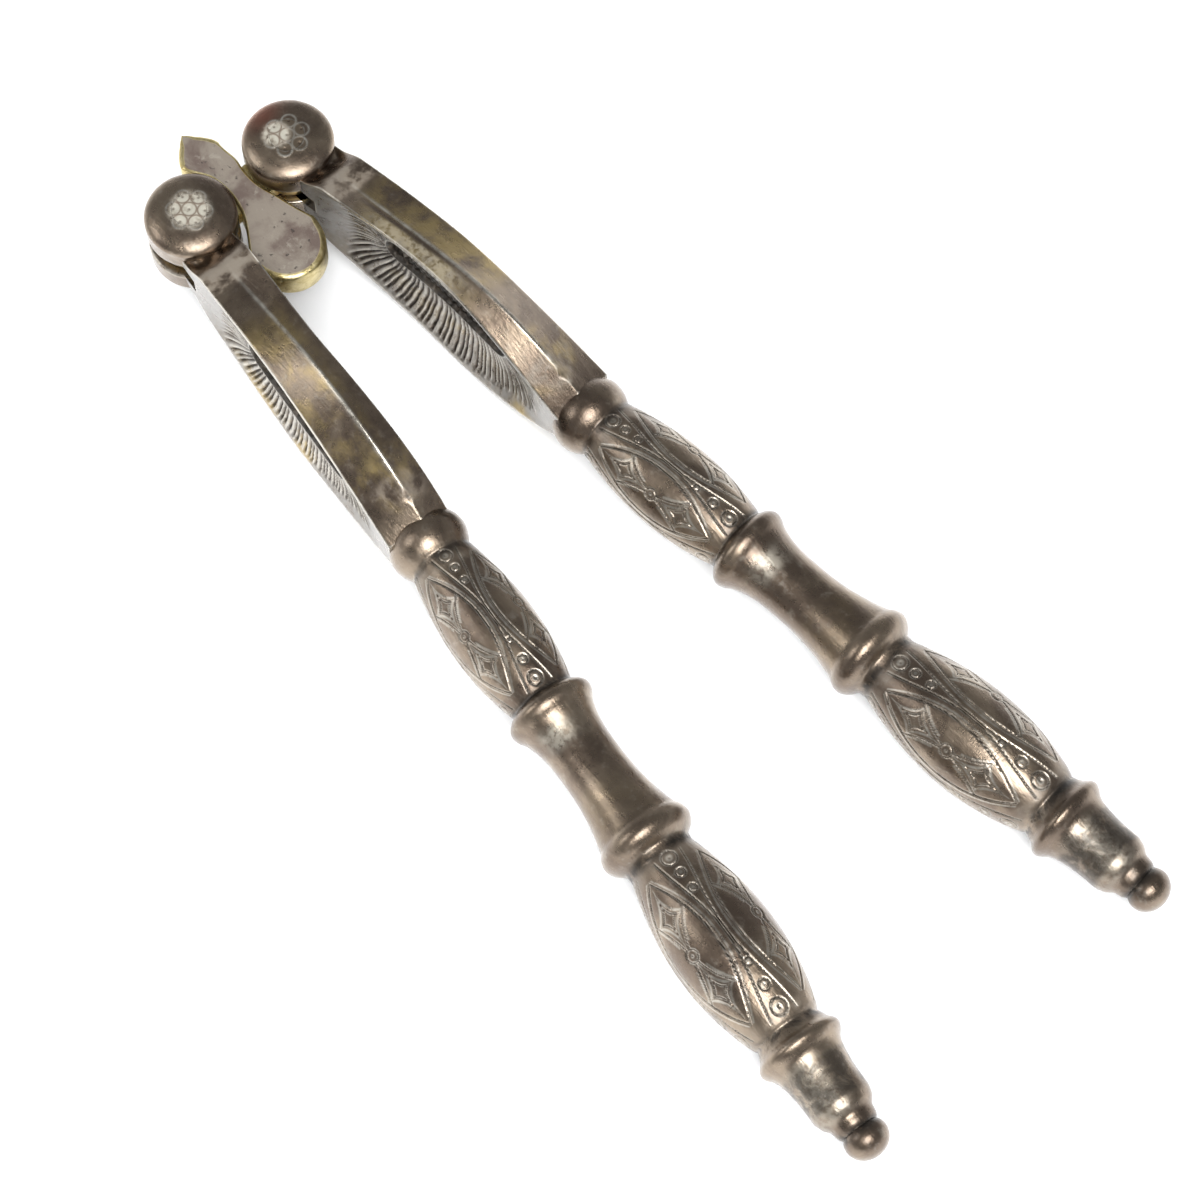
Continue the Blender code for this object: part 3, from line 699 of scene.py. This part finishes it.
def link_outline(spacing):
    """The web's outline: lobe, two coves round the heads, pointed tip."""
    half = 0.5 * spacing
    turn = np.linspace(0.5 * math.pi, -0.5 * math.pi, 90)
    lobe = np.stack([LOBE_CORNER + (LOBE_END - LOBE_CORNER) * np.cos(turn) ** 0.9,
                     LOBE_HALF_WIDTH * np.sin(turn)], axis=1)
    lobe_angle = math.atan2(LOBE_CORNER, half - LOBE_HALF_WIDTH)
    tip_angle = math.atan2(TIP_CORNER, half - TIP_HALF_WIDTH)
    lobe_reach = math.hypot(LOBE_CORNER, half - LOBE_HALF_WIDTH)
    tip_reach = math.hypot(TIP_CORNER, half - TIP_HALF_WIDTH)
    t = np.linspace(0.0, 1.0, 72)[1:-1]
    angle = blend(lobe_angle, -tip_angle, t)
    reach = COVE_RADIUS + (lobe_reach - COVE_RADIUS) * (1 - t) ** 6 + (tip_reach - COVE_RADIUS) * t ** 6
    cove = np.stack([reach * np.sin(angle), -half + reach * np.cos(angle)], axis=1)
    t = np.linspace(0.0, 1.0, 26)
    tip = np.stack([blend(-TIP_CORNER, -TIP_END, t), -TIP_HALF_WIDTH * (1 - t ** 1.6)], axis=1)
    flip = np.array([1.0, -1.0])
    outline = np.concatenate([lobe, cove, tip, tip[-2::-1] * flip, cove[::-1] * flip])
    x = outline[:, 0]
    outline[:, 1] -= TIP_LEAN * smooth_step((-x - LEAN_FROM) / (TIP_CORNER - LEAN_FROM))
    outline[:, 1] -= LOBE_LEAN * smooth_step((x - LEAN_FROM) / (LOBE_CORNER - LEAN_FROM))
    return outline


def make_link(spacing):
    """Web with rolled edges, and the eye and shank that reach into each fork."""
    outline = link_outline(spacing)
    ahead, behind = np.roll(outline, -1, axis=0), np.roll(outline, 1, axis=0)
    tangent = ahead - behind
    for _ in range(6):
        tangent = 0.5 * tangent + 0.25 * (np.roll(tangent, 1, axis=0) + np.roll(tangent, -1, axis=0))
    tangent /= np.linalg.norm(tangent, axis=1)[:, None]
    inward = np.stack([tangent[:, 1], -tangent[:, 0]], axis=1)
    x = outline[:, 0]
    width = EDGE_WIDTH + LOBE_EDGE_EXTRA * smooth_step((x - 8.0) / 3.0)
    width += TIP_EDGE_EXTRA * smooth_step((-6.0 - x) / 1.5)
    width *= 1.0 - 0.55 * smooth_step(-9.6 - x)  # narrow again at the very point
    rows, shine = [], []
    for side in (-1, 1):
        turns = np.linspace(0.0, 0.5 * math.pi, 7)
        for a in (turns[::-1] if side < 0 else turns):
            inset = (width * (1.0 - math.cos(a)))[:, None]
            drop = EDGE_DROP * width * (1.0 - math.sin(a))
            height = side * (LINK_HALF - drop)
            rows.append(np.column_stack([outline + inward * inset, height]))
            shine.append(np.full(len(outline), math.cos(a) ** 0.5))
    web = Surface()
    web.add_grid(np.array(rows), wrap_columns=True, caps=("first", "last"), shine=np.array(shine))

    flat, level = EYE_RADIUS - EYE_BEVEL, EYE_HALF - EYE_BEVEL
    radii = [EYE_BORE, EYE_BORE, flat, EYE_RADIUS, EYE_RADIUS, flat]
    heights = [EYE_HALF, -EYE_HALF, -EYE_HALF, -level, level, EYE_HALF]
    for side in (-1, 1):
        eye = polar(radii, heights, EYE_COLUMNS) + (0.0, 0.5 * side * spacing, 0.0)
        web.add_grid(eye[:, ::-1], wrap_rows=True, wrap_columns=True, shine=np.ones(eye.shape[:2]))
        reaches = (SHANK_FROM_MIDDLE, 0.5 * spacing - SHANK_TO_AXIS)
        corners = np.array([(-1, -1), (1, -1), (1, 1), (-1, 1)]) * (SHANK_HALF_WIDTH, EYE_HALF)
        ends = [[(cx, side * reach, cz) for cx, cz in corners[::-side]] for reach in reaches]
        web.add_grid(np.array(ends), wrap_columns=True, caps=("first", "last"), shine=np.ones((2, 4)))
    return web.build("link")


# ---------------------------------------------------------------- materials

class Shader:
    """A node material, built with short calls that each return a socket."""

    def __init__(self, name):
        self.material = bpy.data.materials.new(name)
        self.material.use_nodes = True
        self.tree = self.material.node_tree
        self.principled = self.tree.nodes["Principled BSDF"]
        self.place = self.tree.nodes.new("ShaderNodeTexCoord").outputs["Object"]

    def _feed(self, socket, value):
        if isinstance(value, bpy.types.NodeSocket):
            self.tree.links.new(value, socket)
        elif value is not None:
            socket.default_value = value

    def noise(self, size, detail=4.0, roughness=0.55, distortion=0.0, stretch=None):
        """Noise whose features are about size millimetres across."""
        node = self.tree.nodes.new("ShaderNodeTexNoise")
        source = self.place
        if stretch:
            mapping = self.tree.nodes.new("ShaderNodeMapping")
            self._feed(mapping.inputs["Vector"], source)
            mapping.inputs["Scale"].default_value = stretch
            source = mapping.outputs["Vector"]
        self._feed(node.inputs["Vector"], source)
        node.inputs["Scale"].default_value = 1.0 / (size * MM)
        node.inputs["Detail"].default_value = detail
        node.inputs["Roughness"].default_value = roughness
        node.inputs["Distortion"].default_value = distortion
        return node.outputs["Fac"]

    def value(self, name):
        node = self.tree.nodes.new("ShaderNodeAttribute")
        node.attribute_name = name
        return node.outputs["Fac"]

    def ramp(self, source, low, high, out_low=0.0, out_high=1.0):
        """Smoothly map source from low..high to out_low..out_high."""
        node = self.tree.nodes.new("ShaderNodeMapRange")
        node.interpolation_type = "SMOOTHSTEP"
        for socket, value in zip(node.inputs, (source, low, high, out_low, out_high)):
            self._feed(socket, value)
        return node.outputs["Result"]

    def math(self, operation, a, b):
        node = self.tree.nodes.new("ShaderNodeMath")
        node.operation = operation
        self._feed(node.inputs[0], a)
        self._feed(node.inputs[1], b)
        return node.outputs["Value"]

    def mix(self, share, a, b):
        """Mix two colours."""
        node = self.tree.nodes.new("ShaderNodeMix")
        node.data_type = "RGBA"
        self._feed(node.inputs["Factor"], share)
        self._feed(node.inputs["A"], (*a, 1.0) if isinstance(a, tuple) else a)
        self._feed(node.inputs["B"], (*b, 1.0) if isinstance(b, tuple) else b)
        return node.outputs["Result"]

    def bump(self, height, distance, under=None):
        node = self.tree.nodes.new("ShaderNodeBump")
        node.inputs["Distance"].default_value = distance * MM
        self._feed(node.inputs["Height"], height)
        self._feed(node.inputs["Normal"], under)
        return node.outputs["Normal"]

    def finish(self, color, roughness, normal, metallic=1.0):
        self._feed(self.principled.inputs["Base Color"], color)
        self._feed(self.principled.inputs["Roughness"], roughness)
        self._feed(self.principled.inputs["Normal"], normal)
        self._feed(self.principled.inputs["Metallic"], metallic)
        return self.material


BRONZE = (0.268, 0.210, 0.153)
BRONZE_DARK = (0.145, 0.108, 0.080)
PLATE = (0.56, 0.52, 0.45)
BRASS = (0.42, 0.315, 0.145)
COPPER = (0.34, 0.13, 0.09)
DUST = (0.19, 0.163, 0.13)
RUBBED = (0.62, 0.59, 0.52)
SILVER = (0.40, 0.38, 0.32)
FACE_GREY = (0.27, 0.255, 0.235)
# Tarnish black, also used as painted shade in the jaw's recess and the roof's pockets.
TARNISH_AND_SHADE = (0.030, 0.027, 0.024)
LINK_DARK = (0.105, 0.078, 0.066)
LINK_DULL = (0.195, 0.168, 0.138)
LINK_PALE = (0.27, 0.245, 0.205)
EDGE_BRASS = (0.50, 0.40, 0.17)
EDGE_BRIGHT = (0.74, 0.64, 0.36)
PUNCHED = (0.085, 0.065, 0.05)
PAPER_SHADE = (0.88, 0.89, 0.90)
PAPER_WHITE = (0.91, 0.92, 0.93)
ROOM_HORIZON = (0.85, 0.87, 0.90)
ROOM_OVERHEAD = (0.32, 0.325, 0.33)


def worn_plate(name):
    """Silver plate gone brown, rubbed pale on the high places and black in the low ones, with painted shade
    in the roof's pockets and the jaw's recess and painted highlights in some silver patches.
    """
    s = Shader(name)
    cloud = s.noise(9.0, 5.0, 0.6, 0.6)
    mottle = s.noise(1.6, 6.0, 0.65)
    grain = s.noise(0.35, 4.0, 0.6)
    color = s.mix(s.ramp(cloud, 0.38, 0.66), BRONZE_DARK, BRONZE)
    color = s.mix(s.ramp(mottle, 0.54, 0.8, 0.0, 0.35), color, PLATE)
    bare = s.math("SUBTRACT", s.value("face"), s.value("groove"))
    face = s.math("MULTIPLY", s.ramp(bare, 0.0, 0.8), s.ramp(mottle, 0.3, 0.6, 0.5, 0.95))
    color = s.mix(face, color, FACE_GREY)
    brass = s.math("MULTIPLY", s.value("brass"), s.ramp(s.noise(6.0, 6.0, 0.62, 0.2), 0.38, 0.62))
    color = s.mix(brass, color, BRASS)
    color = s.mix(s.value("copper"), color, COPPER)
    dust = s.math("MULTIPLY", s.value("dust"), s.ramp(s.noise(2.6, 5.0, 0.6, 0.2), 0.34, 0.62))
    color = s.mix(dust, color, DUST)
    rubbed = s.math("MULTIPLY", s.ramp(s.value("ridge"), 0.2, 0.9), s.ramp(mottle, 0.3, 0.6, 0.2, 0.8))
    color = s.mix(rubbed, color, PLATE)
    line = s.math("MULTIPLY", s.value("lip"), s.ramp(mottle, 0.3, 0.6, 0.35, 0.95))
    # Silver patches: worn plate, and partly a painted highlight on the spool, the cup and the jaw's inner
    # facet; made matt so the overhead lamp lights them.
    silver_and_sheen = s.math("MULTIPLY", s.value("silver_and_sheen"), s.ramp(s.noise(0.9, 6.0, 0.7), 0.36, 0.56, 0.25, 1.0))
    color = s.mix(silver_and_sheen, color, SILVER)
    color = s.mix(line, color, s.mix(s.value("flower"), RUBBED, BRONZE_DARK))
    hollow = s.ramp(s.value("hollow"), 0.2, 1.0, 0.0, 0.7)
    low = s.math("MAXIMUM", hollow, s.ramp(s.value("groove"), 0.2, 1.0))
    black = s.math("MULTIPLY", s.value("black"), s.ramp(s.noise(3.0, 6.0, 0.7, 0.5), 0.36, 0.54))
    low = s.math("MULTIPLY", s.math("MAXIMUM", low, black), s.ramp(mottle, 0.2, 0.6, 0.55, 0.92))
    # Black: tarnish in the grooves and hollows, and painted shade in the roof's pockets and the jaw's
    # recess.
    color = s.mix(low, color, TARNISH_AND_SHADE)
    rough = s.ramp(mottle, 0.3, 0.75, 0.25, 0.40)
    rough = s.math("ADD", rough, s.math("MULTIPLY", dust, 0.25))
    rough = s.math("ADD", rough, s.math("MULTIPLY", low, 0.15))
    matt = s.math("MAXIMUM", s.math("MAXIMUM", dust, silver_and_sheen), s.math("MULTIPLY", face, 0.6))
    metallic = s.ramp(matt, 0.0, 1.0, 1.0, 0.35)
    scratch = s.noise(1.1, 3.0, 0.6, 0.0, (0.25, 4.0, 1.0))
    normal = s.bump(grain, 0.02)
    normal = s.bump(scratch, 0.03, normal)
    normal = s.bump(mottle, 0.07, normal)
    s.principled.inputs["Coat Weight"].default_value = 0.32
    s.principled.inputs["Coat Roughness"].default_value = 0.22
    return s.finish(color, rough, normal, metallic)


def link_brass(name):
    """Cast brass: dull grey-brown and pitted on the flats, bright on the edges."""
    s = Shader(name)
    mottle = s.noise(1.8, 6.0, 0.7, 0.3)
    cloud = s.noise(5.0, 5.0, 0.6, 0.4)
    flat = s.mix(s.ramp(cloud, 0.36, 0.6), LINK_DARK, LINK_DULL)
    flat = s.mix(s.ramp(mottle, 0.54, 0.72, 0.0, 0.7), flat, LINK_PALE)
    edge = s.mix(s.ramp(mottle, 0.35, 0.65), EDGE_BRASS, EDGE_BRIGHT)
    share = s.math("MULTIPLY", s.ramp(s.value("shine"), 0.2, 0.7), s.ramp(mottle, 0.2, 0.45, 0.6, 1.0))
    color = s.mix(share, flat, edge)
    pits = s.ramp(s.noise(0.7, 3.0, 0.5), 0.64, 0.74)
    color = s.mix(s.math("MULTIPLY", pits, 0.7), color, TARNISH_AND_SHADE)
    rough = s.ramp(s.value("shine"), 0.1, 0.8, 0.52, 0.34)
    rough = s.math("ADD", rough, s.ramp(mottle, 0.3, 0.7, -0.05, 0.08))
    normal = s.bump(s.noise(0.3, 4.0, 0.6), 0.03)
    normal = s.bump(s.math("SUBTRACT", 0.0, pits), 0.08, normal)
    return s.finish(color, rough, normal, s.ramp(share, 0.0, 1.0, 0.3, 1.0))


def rivet_metal(name):
    """Rivet ends: pale silver where rubbed, brown elsewhere, dark in the punched dots."""
    s = Shader(name)
    mottle = s.noise(1.2, 6.0, 0.7, 0.4)
    silver_and_sheen = s.math("MULTIPLY", s.value("silver_and_sheen"), s.ramp(mottle, 0.3, 0.5, 0.45, 1.0))
    color = s.mix(silver_and_sheen, BRONZE, SILVER)
    line = s.math("MULTIPLY", s.value("lip"), s.ramp(mottle, 0.25, 0.5, 0.5, 1.0))
    color = s.mix(line, color, s.mix(s.value("silver_and_sheen"), PLATE, BRONZE_DARK))
    low = s.math("MULTIPLY", s.ramp(s.value("groove"), 0.3, 0.95), s.ramp(mottle, 0.25, 0.6, 0.4, 0.8))
    color = s.mix(low, color, PUNCHED)
    rough = s.math("ADD", s.ramp(mottle, 0.3, 0.7, 0.27, 0.4), s.math("MULTIPLY", low, 0.25))
    metallic = s.ramp(silver_and_sheen, 0.0, 1.0, 1.0, 0.4)
    return s.finish(color, rough, s.bump(s.noise(0.3, 4.0, 0.6), 0.025), metallic)


# ---------------------------------------------------------------- wear, painted by place

def blob(points, centre, size):
    """A soft patch round a place in the lever frame."""
    return np.exp(-np.sum(((points - centre) / size) ** 2, axis=1))


def band(x, start, end, edge=1.0):
    """1 between two stations, fading over edge at both."""
    return smooth_step((x - start) / edge) * smooth_step((end - x) / edge)


def rosette_silver(points):
    """Where the silver is left on the rivet ends: most of one flower, all of the other."""
    upper = blob(points, (-1.1, -0.9, DOME_TOP), (2.0, 2.0, 3.0)) * (points[:, 2] > 0.0)
    lower = blob(points, (0.0, 0.0, -DOME_TOP), (2.9, 2.9, 3.0)) * (points[:, 2] < 0.0)
    return smooth_step(1.9 * (upper + lower) - 0.35)


def paint_jaw(mesh):
    """Brass along the roof, dust at both its ends, silver and copper on the head, and silver on the upper
    inner facet that is partly a painted highlight.
    """
    points = coordinates(mesh)
    x, y, z = points.T
    roof = smooth_step((np.abs(z) - 4.5) / 1.5)
    head = np.hypot(x, y) < HEAD_RADIUS + 0.01
    upper = z > 0.0
    inner_facet = smooth_step((-0.6 - y) / 0.6) * roof * upper
    brass = np.where(upper, 0.9 * band(x, 12.0, 37.0, 4.0) * smooth_step((y + 0.6) / 1.2),
                     0.7 * band(x, 16.0, 46.0, 6.0) * smooth_step((y + 2.5) / 2.0)) * roof
    brass += 0.9 * band(x, 13.0, 37.0, 5.0) * inner_facet
    brass += 0.9 * band(x, 42.0, 51.0, 2.5) * roof * (1.0 - inner_facet)
    dust = (band(x, 7.4, 13.2, 1.5) + 0.6 * band(x, 45.3, 51.8, 1.5)) * roof
    # Off the head, the silver on the upper inner facet is partly a painted highlight, where the right jaw
    # catches the light.
    silver_and_sheen = np.where(head, rosette_silver(points), 0.5 * band(x, 14.0, 36.0, 6.0) * inner_facet)
    copper = 0.9 * blob(points, (-4.2, 0.0, 5.0), (1.6, 2.4, 2.0)) * head
    for name, values in (("brass", brass), ("dust", dust), ("silver_and_sheen", silver_and_sheen), ("copper", copper),
                         ("flower", silver_and_sheen * head)):
        paint(mesh, name, values)
    paint_relief(mesh, 1.3)


def paint_rivet(mesh):
    paint(mesh, "silver_and_sheen", rosette_silver(coordinates(mesh)))


def paint_handle(mesh):
    """Black in the necks and on the cup; silver on the spool and the cup: worn plate, partly a painted
    highlight on the side that faces the key light.
    """
    points = coordinates(mesh)
    x = points[:, 0] - RING_STATION
    black = 0.75 * band(x, 81.5, 88.0)
    for at, width, share in ((BULB1_FROM + 0.5, 0.7, 0.8), (BULB1_TO - 0.2, 0.6, 0.9),
                             (BULB2_FROM - 0.2, 0.8, 1.0), (BULB2_TO + 0.4, 0.8, 1.0),
                             (GROOVE_AT, 0.8, 1.0)):
        black += share * dent(x - at, width)
    brass = 0.12 * band(x, 38.0, 47.0, 3.0)
    above = np.abs(points[:, 2])
    # Painted highlight: the silver patches keep to the side that faces the key light and the camera, over
    # worn plate.
    rubbed_and_lit_side = dent(points[:, 1] + 1.5 * np.sign(points[:, 2]), 2.6)
    silver_and_sheen = 0.6 * band(x, 29.0, 33.5, 1.5) * rubbed_and_lit_side * smooth_step((above - 1.5) / 1.5)
    silver_and_sheen += 0.45 * band(x, 80.5, 90.0, 1.5) * rubbed_and_lit_side
    dust = sum(0.5 * dent(x - at, 1.0) for at in (BULB1_FROM + 1.8, BULB2_FROM + 1.2, BULB2_TO - 1.1))
    for name, values in (("brass", brass), ("dust", dust), ("black", black), ("silver_and_sheen", silver_and_sheen)):
        paint(mesh, name, values)
    paint_relief(mesh, 0.6)


# ---------------------------------------------------------------- assembly

def pivot_of(name):
    joint = next(j for j in frame["joints"] if j["name"] == name)
    return Vector(joint["pos_m"])


def lever_turn(node, pivot, outward):
    """How far a lever leans out at rest, from its far end, which is on the handle's axis."""
    reach = [v.co - pivot for v in frame["nodes"][node].data.vertices]
    tip = max(reach, key=lambda r: r.xy.length)
    return math.atan2(tip.y, tip.x) + outward * math.asin(AXIS_INWARD * MM / tip.xy.length)


def build_object():
    pivots = {side: pivot_of(side + "_hinge") for side in ("right", "left")}
    across = pivots["right"] - pivots["left"]
    spacing = across.length / MM
    middle = 0.5 * (pivots["right"] + pivots["left"])

    jaw, handle, rivet = make_forked_jaw(), make_handle(), make_rivet()
    paint_jaw(jaw)
    paint_handle(handle)
    paint_rivet(rivet)
    for side, outward, flip in (("right", 1, 0.0), ("left", -1, math.pi)):
        lean = lever_turn(side + "_lever", pivots[side], outward)
        turned = Matrix.Rotation(lean, 4, "Z") @ Matrix.Rotation(flip, 4, "X")
        matrix = Matrix.Translation(pivots[side]) @ turned
        plate = worn_plate("worn_plate_" + side)
        for kind, mesh in (("jaw", jaw), ("handle", handle)):
            piece = place(mesh, side + "_" + kind, matrix, plate)
            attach(piece, side + "_arm")
            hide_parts(side + "_lever")
        pin = place(rivet, side + "_rivet_pin", matrix, rivet_metal("rivet_metal_" + side))
        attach(pin, side + "_arm")
        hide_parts(side + "_rivet")

    turn = math.atan2(-across.x, across.y)
    matrix = Matrix.Translation(middle) @ Matrix.Rotation(turn, 4, "Z")
    link = place(make_link(spacing), "link_web", matrix, link_brass("link_brass"))
    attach(link, "link")
    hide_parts("link_plate")


# ---------------------------------------------------------------- studio

def add_floor():
    """A pale floor, tipped so that the jaws and the handles' far bulbs both rest on it."""
    places = [v.co for v in frame["nodes"]["right_lever"].data.vertices]
    jaw_foot = min(places, key=lambda c: c.z)
    past_jaw = jaw_foot.x + (JAW_END - RIDGE_FULLEST) * MM
    climb = min((c.z - jaw_foot.z) / (c.x - jaw_foot.x) for c in places if c.x > past_jaw)
    mesh = bpy.data.meshes.new("floor")
    corners = [(FLOOR_HALF * i, FLOOR_HALF * j, 0.0) for i, j in ((-1, -1), (1, -1), (1, 1), (-1, 1))]
    mesh.from_pydata(corners, [], [(0, 1, 2, 3)])
    floor = bpy.data.objects.new("floor", mesh)
    bpy.context.scene.collection.objects.link(floor)
    floor.location = (jaw_foot.x, 0.0, jaw_foot.z - FLOOR_GAP)
    floor.rotation_euler = (0.0, -math.atan(climb), 0.0)
    s = Shader("floor_paper")
    color = s.mix(s.noise(60.0, 3.0), PAPER_SHADE, PAPER_WHITE)
    mesh.materials.append(s.finish(color, 0.85, None, 0.0))


def add_light(name, azimuth, elevation, distance, size, power, mirrored=True):
    """A square soft box that looks at the object; only mirrored ones show in the metal."""
    data = bpy.data.lights.new(name, "AREA")
    data.size = size
    data.energy = power
    lamp = bpy.data.objects.new(name, data)
    bpy.context.scene.collection.objects.link(lamp)
    back = view_direction(azimuth, elevation)
    lamp.location = back * distance
    lamp.rotation_euler = back.to_track_quat("Z", "Y").to_euler()
    lamp.visible_glossy = mirrored


def view_direction(azimuth, elevation):
    """From the object towards a viewer; azimuth 0 looks along +Y."""
    a, e = math.radians(azimuth), math.radians(elevation)
    return Vector((math.sin(a) * math.cos(e), -math.cos(a) * math.cos(e), math.sin(e)))


def add_world():
    """A pale room: bright near the horizon, darker overhead."""
    world = bpy.data.worlds.new("room")
    bpy.context.scene.world = world
    world.use_nodes = True
    tree = world.node_tree
    place_node = tree.nodes.new("ShaderNodeTexCoord")
    split = tree.nodes.new("ShaderNodeSeparateXYZ")
    ramp = tree.nodes.new("ShaderNodeValToRGB")
    tree.links.new(place_node.outputs["Generated"], split.inputs[0])
    tree.links.new(split.outputs["Z"], ramp.inputs[0])
    tree.links.new(ramp.outputs["Color"], tree.nodes["Background"].inputs["Color"])
    stops = ramp.color_ramp.elements
    stops[0].position, stops[0].color = 0.02, (*ROOM_HORIZON, 1.0)
    stops[1].position, stops[1].color = 0.35, (*ROOM_OVERHEAD, 1.0)
    tree.nodes["Background"].inputs["Strength"].default_value = 1.0


def add_camera():
    data = bpy.data.cameras.new("camera")
    data.sensor_width = SENSOR
    data.lens = LENS
    data.clip_start = 0.01
    camera = bpy.data.objects.new("camera", data)
    bpy.context.scene.collection.objects.link(camera)
    back = view_direction(VIEW_AZIMUTH, VIEW_ELEVATION)
    camera.location = Vector(VIEW_CENTRE) + back * VIEW_DISTANCE
    camera.rotation_euler = back.to_track_quat("Z", "Y").to_euler()
    bpy.context.scene.camera = camera


build_object()
add_floor()
add_world()
add_light("key", azimuth=60.0, elevation=60.0, distance=0.9, size=0.46, power=7.5)
add_light("side", azimuth=-40.0, elevation=35.0, distance=1.0, size=0.4, power=1.6)
add_light("overhead", azimuth=0.0, elevation=89.0, distance=1.2, size=1.4, power=22.0, mirrored=False)
add_camera()
bpy.context.scene.view_settings.view_transform = "Standard"
